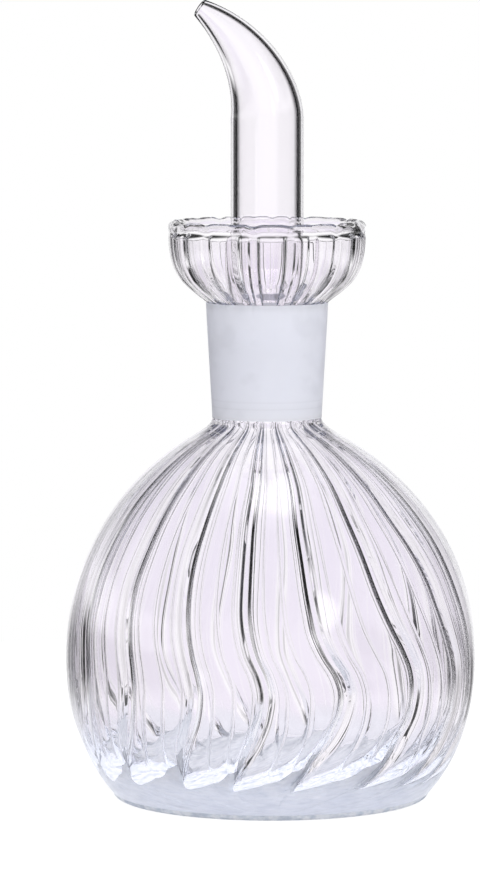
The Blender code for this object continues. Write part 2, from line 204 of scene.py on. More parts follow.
# Stopper. Its shoulder, from the cone to the tube, starts below the mouth.
CONE_RADIUS_AT_MOUTH = 0.0117
CONE_WALL = 0.0017
CONE_ROUND = 0.0006
SHOULDER_START = -0.0068
SHOULDER_HEIGHT = 0.0036
TUBE_WALL = 0.0016
TIP_RADIUS = 0.00245
TIP_WALL = 0.0011
BEND_START = 0.1683
BEND_LENGTH = 0.0325
BEND_ANGLE = math.radians(56.3)
BEND_POWER_SHARE = 0.774
TAPER_POWER_SHARE = 1.334
STOPPER_COLUMNS = 96

# Samples across one rib pitch, closer together on the flanks
NEAR_SHARES = (
    0.020, 0.029, 0.034, 0.046, 0.060, 0.074, 0.087, 0.092, 0.100, 0.109, 0.1125, 0.1245, 0.128, 0.142)
LEFT_SHARES = (
    0.155, 0.168, 0.1715, 0.18, 0.1885, 0.192, 0.21, 0.25, 0.30, 0.35, 0.40, 0.4385, 0.4415,
    0.45, 0.4585, 0.462, 0.48)
RIGHT_SHARES = (0.17, 0.21, 0.24, 0.258, 0.2615, 0.27, 0.2785, 0.282, 0.31, 0.36, 0.41, 0.46)
INNER_SHARES = (*sorted(-share for share in NEAR_SHARES + LEFT_SHARES), 0.0, *NEAR_SHARES, *RIGHT_SHARES)
OUTER_SHARES = (-0.4, -0.3, -0.2, -0.1, 0.0, 0.1, 0.2, 0.3, 0.4, 0.5)
CUP_SHARES = (
    -0.42, -0.33, -0.25, -0.20, -0.185, -0.165, -0.1425, -0.123, -0.108, -0.085, -0.045, 0.0,
    0.045, 0.085, 0.108, 0.123, 0.1425, 0.165, 0.185, 0.20, 0.25, 0.33, 0.42, 0.5)

# Rows of the bottle: its outside from the middle of the foot up, then each column of the cavity
FOOT_HOLLOW_ROWS = 8
FOOT_RING_ROWS = 4
FOOT_CORNER_ROWS = 6
FOOT_ROWS = FOOT_HOLLOW_ROWS + FOOT_RING_ROWS + FOOT_CORNER_ROWS
BELLY_SAMPLES = 200
DOME_SAMPLES = 400
BULB_ROWS = 90
NECK_ROWS = 16
BORE_ROWS = 20
BEAD_ROWS = 22
WALL_ROWS = 104
CORNER_ROWS = 9
FLOOR_ROWS = 30

# Rows of the stopper. The lowest ones of the cone are ground.
CONE_ROWS = 18
GROUND_ROWS = 14
SHOULDER_ROWS = 14
TUBE_ROWS = 12
BEND_ROWS = 64
LIP_ROWS = 5
CONE_INNER_ROWS = 13


def ease(value, start, end):
    """Smooth step from 0 at start to 1 at end."""
    share = np.clip((value - start) / (end - start), 0, 1)
    return share * share * (3 - 2 * share)


def slope_off(value, start, end):
    """1 before start and 0 after end, with an even slope between."""
    return np.clip((end - value) / (end - start), 0, 1)


# Profiles, as arrays of (radius, height)

def blend_outward(radius_a, radius_b):
    """The larger radius, with a smooth fillet where the two are alike."""
    power = NECK_BLEND_SHARE
    return (radius_a ** power + radius_b ** power) ** (1 / power)


def dome_radius(height, widest, reach, neck):
    share = (height - WIDEST_HEIGHT) / reach
    dome = widest * max(1 - share * share, 0) ** DOME_POWER_SHARE
    return blend_outward(dome, neck)


def belly_radius(height):
    foot_share = (FOOT_RADIUS + FOOT_CORNER) / BULB_RADIUS
    reach = WIDEST_HEIGHT / (1 - foot_share ** 2) ** (1 / BELLY_POWER_SHARE)
    share = (WIDEST_HEIGHT - height) / reach
    return BULB_RADIUS * math.sqrt(1 - share ** BELLY_POWER_SHARE)


def cavity_radius(height):
    """Inner face of the wall, which thickens towards the heel."""
    if height > WIDEST_HEIGHT:
        reach = (BULB_TOP - WIDEST_HEIGHT) * DOME_REACH_SHARE - BULB_WALL
        return dome_radius(height, BULB_RADIUS - BULB_WALL, reach, NECK_FOOT_BORE)
    share = 1 - height / WIDEST_HEIGHT
    return belly_radius(height) - BULB_WALL - (HEEL_WALL - BULB_WALL) * share * share


def evenly(points, count):
    """The same outline with count + 1 points at equal steps along it."""
    points = np.array(points, float)
    lengths = np.concatenate([[0], np.cumsum(np.hypot(*np.diff(points, axis=0).T))])
    places = np.linspace(0, lengths[-1], count + 1)
    return np.stack([np.interp(places, lengths, points[:, axis]) for axis in (0, 1)], 1)


def curve_through(points, steps):
    """A smooth curve through the points, by Catmull and Rom's rule."""
    points = [np.array(point, float) for point in points]
    points = [2 * points[0] - points[1]] + points + [2 * points[-1] - points[-2]]
    out = []
    for before, start, end, after in zip(points, points[1:], points[2:], points[3:]):
        for step in range(steps):
            t = step / steps
            out.append(0.5 * (2 * start + (end - before) * t
                              + (2 * before - 5 * start + 4 * end - after) * t * t
                              + (3 * start - before - 3 * end + after) * t ** 3))
    out.append(points[-2])
    return np.array(out)


def outward_normals(points):
    """Unit vectors (radius, height) out of the glass, for a profile up outside and down inside."""
    along = np.gradient(points, axis=0)
    along /= np.hypot(*along.T)[:, None]
    return np.stack([along[:, 1], -along[:, 0]], 1)


def bulb_outer_profile():
    hollow_radius = FOOT_RADIUS - FOOT_RING_WIDTH
    hollow = [(hollow_radius * share, FOOT_HOLLOW * (1 - share * share))
              for share in np.linspace(HOLLOW_INNER_SHARE, 1, FOOT_HOLLOW_ROWS)]
    ring = [(radius, 0.0) for radius in np.linspace(hollow_radius, FOOT_RADIUS, FOOT_RING_ROWS + 1)[1:]]
    corner_width = belly_radius(FOOT_CORNER) - FOOT_RADIUS
    corner = [(FOOT_RADIUS + corner_width * math.sin(angle), FOOT_CORNER * (1 - math.cos(angle)))
              for angle in np.linspace(0, math.pi / 2, FOOT_CORNER_ROWS + 1)[1:]]
    belly = [(belly_radius(height), height)
             for height in np.linspace(FOOT_CORNER, WIDEST_HEIGHT, BELLY_SAMPLES)[1:]]
    reach = (BULB_TOP - WIDEST_HEIGHT) * DOME_REACH_SHARE
    dome = [(dome_radius(height, BULB_RADIUS, reach, NECK_FOOT_RADIUS), height)
            for height in np.linspace(WIDEST_HEIGHT, BULB_TOP, DOME_SAMPLES)[1:]]
    return np.concatenate([np.array(hollow + ring + corner), evenly(belly + dome, BULB_ROWS)])


# Ribs

def bulb_columns(shares):
    """For each column, its rib's number and its share of the pitch from that rib."""
    rib = np.repeat(np.arange(BULB_RIBS), len(shares))
    share = np.tile(np.array(shares), BULB_RIBS)
    return rib, share


def toward_next(share, blend_shares):
    """How much of the next rib's habits a column takes, up to half midway between the two."""
    return 0.5 * ease(np.abs(share), *blend_shares)


def rib_habits(rib, share):
    """The habits of each column: its own rib's near the rib, and easing to the next rib's between."""
    habits = np.array(RIB_HABITS)
    neighbour = (rib + np.sign(share).astype(int)) % BULB_RIBS
    toward = toward_next(share, RIB_BLEND_SHARES)[:, None]
    return habits[rib] * (1 - toward) + habits[neighbour] * toward


def rib_path(rib):
    """A rib's turn from its even place, at even steps of height."""
    heights = np.linspace(0, BULB_TOP, PATH_STEPS + 1)
    if rib in RIB_PATHS:
        knots = curve_through(list(zip(PATH_HEIGHTS, np.radians(RIB_PATHS[rib]))), PATH_CURVE_STEPS)
        return np.interp(heights, knots[:, 0], knots[:, 1])
    shift, forward, peak = RIB_HABITS[rib][:3]
    rise = FORWARD_TURN * forward
    above = rise * ease(heights, TURN_START_HEIGHT, peak)
    drop = np.clip((peak - heights) / peak, 0, 1)
    below = rise - BACKWARD_TURN * drop ** BACKWARD_POWER_SHARE
    return math.radians(shift) + np.where(heights > peak, above, below)


PATHS = np.array([rib_path(rib) for rib in range(BULB_RIBS)])


def path_at(rib, height):
    """Each column's turn at its height, read from its rib's path."""
    place = np.clip(height / BULB_TOP, 0, 1) * (PATH_STEPS - 1)
    step = np.floor(place).astype(int)
    return PATHS[rib, step] + (PATHS[rib, step + 1] - PATHS[rib, step]) * (place - step)


def bulb_angles(height, rib, share, habits, stray=0):
    """Where a column stands. A straying one turns back less than its rib does."""
    neighbour = (rib + np.sign(share).astype(int)) % BULB_RIBS
    toward = toward_next(share, RIB_BLEND_SHARES)
    turn = path_at(rib, height) * (1 - toward) + path_at(neighbour, height) * toward
    drop = np.clip(1 - height / habits[:, 2], 0, 1)
    turn = turn + BACKWARD_TURN * stray * drop ** BACKWARD_POWER_SHARE
    wave = np.sin(height * math.tau / WOBBLE_LENGTH + WOBBLE_PHASE * habits[:, 0])
    return BULB_RIB_PHASE + (rib + share) * math.tau / BULB_RIBS + turn + WOBBLE * wave


def rib_section(share):
    """Height of the inner face above the flute, at the bulb's widest: rib, skirt and collar."""
    away = np.abs(share)
    top = RIB_HEIGHT * slope_off(away, *RIB_FLANK_SHARES)
    collar = COLLAR_HEIGHT * slope_off(away, *COLLAR_SHARES)
    return top + collar + SKIRT_HEIGHT * slope_off(away, *SKIRT_SHARES) ** 2


def fine_section(share):
    """Height of the fine ridges above the flute."""
    return FINE_RIDGE_HEIGHT * sum(slope_off(np.abs(share - middle), 0, FINE_RIDGE_HALF_WIDTH_SHARE)
                                   for middle in FINE_RIDGE_SHARES)


def pocket_edges(rib, share):
    """Height of the pocket's lower edge, which climbs in scallops towards the next rib and falls back
    across it."""
    climbs = np.array(RIB_HABITS)[:, 3]
    place = share + POCKET_FALL_SHARES[0]
    own = np.where(place < 0, (rib - 1) % BULB_RIBS, rib)
    place = place % 1
    fall = sum(POCKET_FALL_SHARES)
    down = (1 - ease(place, 0, fall)) * climbs[(own - 1) % BULB_RIBS]
    across = place - POCKET_FALL_SHARES[0]
    knots = np.array(POCKET_CLIMB_SHARES)
    up = np.interp(across, knots[:, 0], knots[:, 1]) * climbs[own]
    dip = 0
    for start, end in zip(knots[:-1, 0], knots[1:, 0]):
        inside = np.clip((across - start) / (end - start), 0, 1)
        dip = dip + SCALLOP * np.sin(math.pi * inside)
    return POCKET_LOW + (POCKET_HIGH - POCKET_LOW) * np.maximum(down, up) - dip


def turned_ring(radius, height, angles):
    return np.stack([radius * np.cos(angles), radius * np.sin(angles), height + 0 * angles], 1)


def lean(ring):
    """The blown bulb sits a little to one side of the neck."""
    share = 1 - ease(ring[:, 2], LEAN_HEIGHT, NECK_FOOT)
    side = np.array([math.cos(CAMERA_AZIMUTH), math.sin(CAMERA_AZIMUTH), 0]) * BULB_LEAN
    return ring + share[:, None] * side


def bulb_outer_rings():
    rib, share = bulb_columns(OUTER_SHARES)
    habits = rib_habits(rib, share)
    profile = bulb_outer_profile()
    flutes = 0.5 - 0.5 * np.cos(share * math.tau)
    rings = []
    for (radius, height), (across, up) in zip(profile, outward_normals(profile)):
        below_neck = ease(height, BULB_TOP, BULB_TOP * RELIEF_TOP_SHARE)
        above_foot = ease(height, FOOT_CORNER, WIDEST_HEIGHT / 2)
        push = -RELIEF * flutes * below_neck * above_foot
        angles = bulb_angles(height, rib, share, habits)
        rings.append(lean(turned_ring(radius + across * push, height + up * push, angles)))
    return rings


def column_profile(edge):
    """One column of the cavity, down the wall from the neck, round the pocket's corner and over the
    floor."""
    wall_steps = np.linspace(0, 1, WALL_ROWS)
    corner = POCKET_CORNER + POCKET_CORNER_GROWTH_SHARE * (POCKET_HIGH - edge)
    wall = [(cavity_radius(height), height)
            for height in BULB_TOP + (edge + corner - BULB_TOP) * wall_steps ** WALL_STEP_POWER_SHARE]
    edge_radius = cavity_radius(edge)
    shares = np.linspace(1 - corner / edge_radius, FLOOR_INNER_SHARE, FLOOR_ROWS)
    floor = [(edge_radius * share, FLOOR_CENTRE + (FLOOR_RIM - FLOOR_CENTRE) * share ** FLOOR_POWER_SHARE
              + (edge - FLOOR_RIM) * share ** LEDGE_POWER_SHARE) for share in shares]
    start, end = np.array(wall[-1]), np.array(floor[0])
    middle = np.array((edge_radius, edge))
    corner = [(1 - t) ** 2 * start + 2 * t * (1 - t) * middle + t * t * end
              for t in np.linspace(0, 1, CORNER_ROWS + 2)[1:-1]]
    return np.concatenate([wall, corner, floor])


def bulb_inner_rings():
    rib, share = bulb_columns(INNER_SHARES)
    habits = rib_habits(rib, share)
    edges = pocket_edges(rib, share)
    keys = [round(edge, EDGE_DIGITS) for edge in edges]
    profiles = {}
    for edge, key in zip(edges, keys):
        if key not in profiles:
            profile = column_profile(edge)
            profiles[key] = (profile, outward_normals(profile))
    columns = np.array([profiles[key][0] for key in keys])
    normals = np.array([profiles[key][1] for key in keys])
    section = rib_section(share)
    fine = fine_section(share)
    faint = FINE_FAINT_SHARE + (1 - FINE_FAINT_SHARE) * ease(habits[:, 3], *FINE_CLIMB_SHARES)
    stray = FINGER_STRAY_SHARE * ease(np.abs(share), *FINGER_STRAY_SHARES)
    wall_end = WALL_ROWS + CORNER_ROWS
    rings = []
    for row in range(columns.shape[1]):
        radius, height = columns[:, row, 0], columns[:, row, 1]
        across, up = normals[:, row, 0], normals[:, row, 1]
        size = (radius / BULB_RADIUS) ** RIB_SIZE_POWER_SHARE
        past_wall = ease(row, WALL_ROWS, wall_end)
        growth = FINE_TOP_SHARE + FINE_GROWTH_SHARE * ease(height, FINE_GROWTH_HEIGHT, POCKET_HIGH)
        push = size * (section + fine * growth * faint) * (1 - past_wall)
        back = 1 - ease(row, wall_end, wall_end + FINGER_STRAY_END_SHARE * FLOOR_ROWS)
        angles = bulb_angles(height, rib, share, habits, stray * back)
        rings.append(lean(turned_ring(radius + across * push, height + up * push, angles)))
    return rings


def cup_rings(profile, face):
    """Rings of the neck and the cup. face is "fluted" outside, "ribbed" inside, or "plain"."""
    rib = np.repeat(np.arange(CUP_RIBS), len(CUP_SHARES))
    share = np.tile(np.array(CUP_SHARES), CUP_RIBS)
    shifts = np.radians(np.array(CUP_RIB_SHIFTS))
    neighbour = (rib + np.sign(share).astype(int)) % CUP_RIBS
    toward = toward_next(share, CUP_BLEND_SHARES)
    shift = shifts[rib] * (1 - toward) + shifts[neighbour] * toward
    angles = CUP_RIB_PHASE + (rib + share) * math.tau / CUP_RIBS + shift
    flutes = 0.5 - 0.5 * np.cos(share * math.tau)
    ribs = slope_off(np.abs(share), *CUP_RIB_FLANK_SHARES)
    dip_swing = 1 + CUP_DIP_SWING_SHARE * np.sin(rib * CUP_DIP_TURN)
    dips = (1 - ease(np.abs(share), *CUP_DIP_SHARES)) * dip_swing
    rings = []
    for (radius, height), (across, up) in zip(profile, outward_normals(profile)):
        push = 0 * share
        if face == "fluted":
            push = -CUP_RELIEF * flutes * ease(height, MOUTH - CUP_RELIEF_START, MOUTH + CUP_FULL_HEIGHT)
        elif face == "ribbed":
            push = CUP_RIB_HEIGHT * radius / CUP_RADIUS * ribs
            push = push * ease(height, MOUTH - CUP_RIB_START, MOUTH + CUP_FULL_HEIGHT)
        elif height > MOUTH:
            height = height - CUP_RIM_DIP * dips
        rings.append(turned_ring(radius + across * push, height + up * push, angles))
    return rings


# Meshes

CLEAR, GROUND, HAZY, CLOUDY, FOOT = range(5)


def skin(name, rings, finish, caps=()):
    """A closed mesh through the rings, which may have unlike numbers of columns. finish gives the
    material number of the strip from a ring to the next, where it isn't clear glass. caps are the
    middle point and the material number of the fan that closes each end. Without caps the last ring
    joins the first."""
    points = []
    starts = []
    for ring in rings:
        starts.append(len(points))
        points.extend(ring.tolist())
    faces = []
    materials = []

    def strip(low, high, material):
        low_count, high_count = len(rings[low]), len(rings[high])
        if low_count != high_count:
            stitch(rings[low], rings[high], starts[low], starts[high], faces)
            materials.extend([material] * (low_count + high_count))
            return
        for column in range(low_count):
            after = (column + 1) % low_count
            faces.append((starts[low] + column, starts[low] + after,
                          starts[high] + after, starts[high] + column))
            materials.append(material)

    for index in range(len(rings) - 1):
        strip(index, index + 1, finish.get(index, CLEAR))
    if caps:
        (low_middle, low_material), (high_middle, high_material) = caps
        low_count, high_count = len(rings[0]), len(rings[-1])
        points += [low_middle, high_middle]
        for column in range(low_count):
            faces.append((len(points) - 2, starts[0] + (column + 1) % low_count, starts[0] + column))
        for column in range(high_count):
            faces.append((len(points) - 1, starts[-1] + column, starts[-1] + (column + 1) % high_count))
        materials += [low_material] * low_count + [high_material] * high_count
    else:
        strip(len(rings) - 1, 0, CLEAR)
    mesh = bpy.data.meshes.new(name)
    mesh.from_pydata(points, [], faces)
    mesh.polygons.foreach_set("material_index", materials)
    mesh.shade_smooth()
    mesh.update()
    return mesh


def stitch(low, high, low_start, high_start, faces):
    """Triangles between two rings that have different numbers of columns."""
    low_turns = np.unwrap(np.arctan2(low[:, 1], low[:, 0]))
    high_turns = np.unwrap(np.arctan2(high[:, 1], high[:, 0]))
    low_count, high_count = len(low), len(high)
    offset = int(np.argmin(np.abs((high_turns - low_turns[0] + math.pi) % math.tau - math.pi)))
    high_turns = np.roll(high_turns, -offset)
    high_turns = np.unwrap(high_turns)
    high_turns += math.tau * round((low_turns[0] - high_turns[0]) / math.tau)
    low_next = np.append(low_turns[1:], low_turns[0] + math.tau)
    high_next = np.append(high_turns[1:], high_turns[0] + math.tau)
    low_done = high_done = 0
    while low_done < low_count or high_done < high_count:
        here_low = low_start + low_done % low_count
        here_high = high_start + (high_done + offset) % high_count
        high_is_full = high_done >= high_count
        if low_done < low_count and (high_is_full or low_next[low_done] <= high_next[high_done]):
            faces.append((here_low, low_start + (low_done + 1) % low_count, here_high))
            low_done += 1
        else:
            faces.append((here_low, high_start + (high_done + 1 + offset) % high_count, here_high))
            high_done += 1


def cup_outline():
    """Outer flare, rolled bead and inner flare, as (radius, height)."""
    rise = CUP_TOP - CUP_BEAD_HEIGHT - MOUTH
    flare = [(NECK_MOUTH_RADIUS + (CUP_RADIUS - NECK_MOUTH_RADIUS) * across, MOUTH + rise * up)
             for across, up in CUP_FLARE_SHARES]
    outer = curve_through(flare, CUP_CURVE_STEPS)
    inner = (outer - outward_normals(outer) * CUP_WALL)[::-1]
    inner = inner[inner[:, 0] > MOUTH_BORE + CUP_WALL * CUP_INNER_END_SHARE]
    half_width, half_height = CUP_BEAD_WIDTH / 2, CUP_BEAD_HEIGHT / 2
    centre = (CUP_RADIUS - half_width, CUP_TOP - half_height)
    bead = np.array([(centre[0] + half_width * math.cos(angle), centre[1] + half_height * math.sin(angle))
                     for angle in np.radians(np.linspace(*CUP_BEAD_DEGREES, BEAD_ROWS))])
    return outer, bead, inner


def make_bottle(materials):
    """Up the outside from the foot to the cup's rim, and down the inside to the cavity's floor."""
    outer, bead, inner = cup_outline()
    neck = evenly([(NECK_FOOT_RADIUS, NECK_FOOT), (NECK_MOUTH_RADIUS, MOUTH)], NECK_ROWS)
    bore = evenly([(MOUTH_BORE, MOUTH), (NECK_FOOT_BORE, NECK_FOOT)], BORE_ROWS)
    mouth_edge = (MOUTH_BORE + MOUTH_EDGE_WIDTH, MOUTH + MOUTH_EDGE_HEIGHT)
    rings = bulb_outer_rings()
    neck_foot = len(rings) - 1
    rings += cup_rings(neck[1:], "fluted")
    neck_top = len(rings) - 1
    rings += cup_rings(outer[1:-1], "fluted")
    rings += cup_rings(bead, "plain")
    rings += cup_rings(np.concatenate([inner, [mouth_edge]])[1:], "ribbed")
    bore_top = len(rings)
    rings += cup_rings(bore, "plain")
    bore_foot = len(rings) - 1
    rings += bulb_inner_rings()[1:]
    finish = {index: FOOT for index in range(FOOT_ROWS)}
    finish.update({index: GROUND for index in range(neck_foot, neck_top)})
    finish.update({index: GROUND for index in range(bore_top, bore_foot)})
    finish.update({index: CLOUDY for index in range(len(rings) - FLOOR_ROWS - 1, len(rings))})
    caps = (((0, 0, FOOT_HOLLOW), FOOT), ((0, 0, FLOOR_CENTRE), CLOUDY))
    return add(skin("bottle", rings, finish, caps), materials)


def add(mesh, materials):
    """Put a mesh in the scene as an object of the same name."""
    for material in materials:
        mesh.materials.append(material)
    piece = bpy.data.objects.new(mesh.name, mesh)
    bpy.context.scene.collection.objects.link(piece)
    return piece


def spout_ring(centre, bend, radius):
    """A round section of the stopper, square to its middle line, which leans by bend towards -X."""
    angles = np.arange(STOPPER_COLUMNS) * math.tau / STOPPER_COLUMNS
    across = radius * np.cos(angles)
    return np.stack([centre[0] + across * math.cos(bend), radius * np.sin(angles),
                     centre[1] + across * math.sin(bend)], 1)


def bent_sections():
    """Centre, lean, outer radius and wall of each section from the bend's start to the tip."""
    sections = []
    centre = (0, BEND_START)
    step = BEND_LENGTH / BEND_ROWS
    for share in np.linspace(0, 1, BEND_ROWS + 1):
        if share > 0:
            along = BEND_ANGLE * (share - 0.5 / BEND_ROWS) ** BEND_POWER_SHARE
            centre = (centre[0] - step * math.sin(along), centre[1] + step * math.cos(along))
        outer = TUBE_RADIUS + (TIP_RADIUS - TUBE_RADIUS) * share ** TAPER_POWER_SHARE
        wall = TUBE_WALL + (TIP_WALL - TUBE_WALL) * share
        sections.append((centre, BEND_ANGLE * share ** BEND_POWER_SHARE, outer, wall))
    return sections


def cone_radius(height):
    return CONE_RADIUS_AT_MOUTH + JOINT_TAPER_SHARE * (height - MOUTH)


def make_stopper(materials):
    """Up the outside from the cone's foot, round the tip's lip, and down the bore."""
    rings = []

    def upright(radius, height):
        rings.append(spout_ring((0, height), 0, radius))

    cone_start = CONE_FOOT + CONE_ROUND
    cone_top = MOUTH + SHOULDER_START
    shoulder_top = cone_top + SHOULDER_HEIGHT
    top_radius = cone_radius(cone_top)
    for height in np.linspace(cone_start, cone_top, CONE_ROWS):
        upright(cone_radius(height), height)
    for share in np.linspace(0, 1, SHOULDER_ROWS + 1)[1:]:
        radius = top_radius + (TUBE_RADIUS - top_radius) * ease(share, 0, 1)
        upright(radius, cone_top + SHOULDER_HEIGHT * share)
    finish = {index: GROUND if index < GROUND_ROWS else HAZY for index in range(len(rings))}
    for height in np.linspace(shoulder_top, BEND_START, TUBE_ROWS + 2)[1:-1]:
        upright(TUBE_RADIUS, height)
    sections = bent_sections()
    for centre, bend, outer, wall in sections:
        rings.append(spout_ring(centre, bend, outer))
    centre, bend, outer, wall = sections[-1]
    for angle in np.linspace(0, math.pi, LIP_ROWS + 2)[1:-1]:
        ahead = wall / 2 * math.sin(angle)
        middle = (centre[0] - ahead * math.sin(bend), centre[1] + ahead * math.cos(bend))
        rings.append(spout_ring(middle, bend, outer - wall / 2 + wall / 2 * math.cos(angle)))
    for centre, bend, outer, wall in sections[::-1]:
        rings.append(spout_ring(centre, bend, outer - wall))
    bore = TUBE_RADIUS - TUBE_WALL
    for height in np.linspace(BEND_START, shoulder_top, TUBE_ROWS + 2)[1:-1]:
        upright(bore, height)
    inner_top = cone_top - CONE_WALL
    wide = top_radius - CONE_WALL
    for share in np.linspace(1, 0, SHOULDER_ROWS + 1):
        upright(wide + (bore - wide) * ease(share, 0, 1), inner_top + SHOULDER_HEIGHT * share)
    for height in np.linspace(inner_top, cone_start, CONE_INNER_ROWS + 1)[1:]:
        upright(cone_radius(height) - CONE_WALL, height)
    foot_middle = cone_radius(CONE_FOOT) - CONE_WALL / 2
    for angle in np.linspace(math.pi, math.tau, LIP_ROWS + 2)[1:-1]:
        upright(foot_middle + CONE_WALL / 2 * math.cos(angle), cone_start + CONE_ROUND * math.sin(angle))
    return add(skin("stopper", rings, finish), materials)


# Nodes

class Tree:
    """Short ways to build the nodes of a material or of the world."""

    def __init__(self, owner):
        owner.use_nodes = True
        self.nodes = owner.node_tree.nodes
        self.links = owner.node_tree.links

    def put(self, socket, value):
        """Give a socket a value, or join it to another node's output."""
        if isinstance(value, bpy.types.NodeSocket):
            self.links.new(value, socket)
        else:
            socket.default_value = value

    def math(self, operation, *values):
        node = self.nodes.new("ShaderNodeMath")
        node.operation = operation
        for socket, value in zip(node.inputs, values):
            self.put(socket, value)
        return node.outputs["Value"]

    def mix(self, factor, first, second, blend="MIX"):
        node = self.nodes.new("ShaderNodeMix")
        node.data_type = "RGBA"
        node.blend_type = blend
        for name, value in (("Factor", factor), ("A", first), ("B", second)):
            self.put(node.inputs[name], value)
        return node.outputs["Result"]

    def noise(self, place, scale, detail):
        node = self.nodes.new("ShaderNodeTexNoise")
        node.inputs["Scale"].default_value = scale
        node.inputs["Detail"].default_value = detail
        self.links.new(place, node.inputs["Vector"])
        return node.outputs["Fac"]

    def spread(self, value, start, end, low=0, high=1, curve="LINEAR"):
        """Stretch the values from start to end over low to high."""
        node = self.nodes.new("ShaderNodeMapRange")
        node.interpolation_type = curve
        for name, number in (("From Min", start), ("From Max", end), ("To Min", low), ("To Max", high)):
            node.inputs[name].default_value = number
        self.links.new(value, node.inputs["Value"])
        return node.outputs["Result"]

    def ramp(self, value, stops):
        """Grey levels along a value. stops are (place, level), in order."""
        node = self.nodes.new("ShaderNodeValToRGB")
        self.links.new(value, node.inputs["Fac"])
        elements = node.color_ramp.elements
        for element, (place, level) in zip(elements, (stops[0], stops[-1])):
            element.position = place
            element.color = (level, level, level, 1)
        for place, level in stops[1:-1]:
            element = elements.new(place)
            element.color = (level, level, level, 1)
        return node.outputs["Color"]

    def height_ramp(self, height, levels):
        """levels are (degrees above the horizon, level), in order."""
        return self.ramp(height, [(0.5 + 0.5 * math.sin(math.radians(up)), level) for up, level in levels])

    def turn_ramp(self, turn_share, levels):
        """levels are (degrees to the left of straight behind the bottle, level), in order."""
        return self.ramp(turn_share, [(0.5 + left / 360, level) for left, level in levels])

    def side_ramp(self, turn_share, levels):
        """The same on both sides of straight behind. levels are (degrees away from it, level), in order."""
        mirrored = [(-away, level) for away, level in levels[::-1]]
        return self.turn_ramp(turn_share, mirrored + list(levels[1:]))

    def surface(self, share, first, second):
        """Mix two shaders, with this share of the second, as the material's surface."""
        node = self.nodes.new("ShaderNodeMixShader")
        self.put(node.inputs["Fac"], share)
        self.links.new(first, node.inputs[1])
        self.links.new(second, node.inputs[2])
        self.links.new(node.outputs["Shader"], self.nodes["Material Output"].inputs["Surface"])


# Materials

GLASS_IOR = 1.47

# Faint tints of the clear glass, and what its depth takes from the light, by the metre
CLEAR_COLOURS = ((0.995, 0.978, 1.0, 1), (0.990, 0.973, 1.0, 1))
DEPTH_COLOUR = (0.70, 0.74, 0.87, 1)
DEPTH_DENSITY = 6

# Ground face: its grain, its share of clear glass, the share of the light that shines through softly,
# shades along the neck by share of its height, and soft blotches by the level of a noise
GROUND_ROUGHNESS = 0.55
GROUND_TRANSMISSION_SHARE = 0.25
GROUND_THROUGH_SHARE = 0.12
GROUND_COLOURS = ((0.865, 0.875, 0.945, 1), (0.91, 0.92, 0.985, 1))
NECK_MARK_SHARES = (
    (0.0, 0.90), (0.02, 0.97), (0.06, 1.0), (0.085, 0.985), (0.09, 0.93), (0.10, 0.985), (0.14, 1.0),
    (0.15, 0.95), (0.165, 1.0), (0.6, 0.97), (0.93, 1.0), (0.97, 0.97), (1.0, 1.0))
BLOTCH_SHARES = ((0.0, 1), (0.36, 0.95), (0.46, 1), (0.62, 1), (0.74, 0.93), (1.0, 1))

# Haze at the end of the ground face
HAZE_ROUGHNESS = 0.12
HAZE_COLOUR = (0.985, 0.985, 1.0, 1)
HAZE_CLEAR_SHARE = 0.15

# Cloudy glass of the heel: its clear spots and its streaks come in between two levels of a noise
CLOUD_ROUGHNESS = 0.1
CLOUD_COLOUR = (0.93, 0.955, 1.0, 1)
CLOUD_NOISE_LEVELS = (0.3, 0.7)
CLOUD_CLEAR_SHARES = (0.08, 0.42)
STREAK_NOISE_LEVELS = (0.36, 0.56)
HEEL_THROUGH_SHARE = 0.3
HEEL_STREAK_COLOURS = ((0.56, 0.60, 0.68, 1), (0.95, 0.98, 1.0, 1))
FOOT_THROUGH_SHARE = 0.85
FOOT_STREAK_COLOURS = ((0.62, 0.66, 0.73, 1), (1.0, 1.0, 1.0, 1))


def glass(name, roughness):
    """A new glass material, with its tree, its shader and where a point is on the object."""
    material = bpy.data.materials.new(name)
    tree = Tree(material)
    shader = tree.nodes["Principled BSDF"]
    shader.inputs["Roughness"].default_value = roughness
    shader.inputs["IOR"].default_value = GLASS_IOR
    place = tree.nodes.new("ShaderNodeTexCoord").outputs["Object"]
    return material, tree, shader, place


def clear_glass():
    material, tree, shader, place = glass("clear_glass_look", 0.0)
    shader.inputs["Transmission Weight"].default_value = 1
    tint = tree.mix(tree.noise(place, scale=60, detail=2), *CLEAR_COLOURS)
    tree.links.new(tint, shader.inputs["Base Color"])
    depth = tree.nodes.new("ShaderNodeVolumeAbsorption")
    depth.inputs["Color"].default_value = DEPTH_COLOUR
    depth.inputs["Density"].default_value = DEPTH_DENSITY
    tree.links.new(depth.outputs["Volume"], tree.nodes["Material Output"].inputs["Volume"])
    return material


def ground_glass():
    material, tree, shader, place = glass("ground_glass_look", GROUND_ROUGHNESS)
    shader.inputs["Transmission Weight"].default_value = GROUND_TRANSMISSION_SHARE
    colour = tree.mix(tree.noise(place, scale=180, detail=6), *GROUND_COLOURS)
    parts = tree.nodes.new("ShaderNodeSeparateXYZ")
    tree.links.new(place, parts.inputs["Vector"])
    marks = tree.ramp(tree.spread(parts.outputs["Z"], NECK_FOOT, MOUTH), NECK_MARK_SHARES)
    blotches = tree.ramp(tree.noise(place, scale=90, detail=3), BLOTCH_SHARES)
    for shade in (marks, blotches):
        colour = tree.mix(1, colour, shade, "MULTIPLY")
    tree.links.new(colour, shader.inputs["Base Color"])
    through = tree.nodes.new("ShaderNodeBsdfTranslucent")
    tree.links.new(colour, through.inputs["Color"])
    tree.surface(GROUND_THROUGH_SHARE, shader.outputs["BSDF"], through.outputs["BSDF"])
    return material


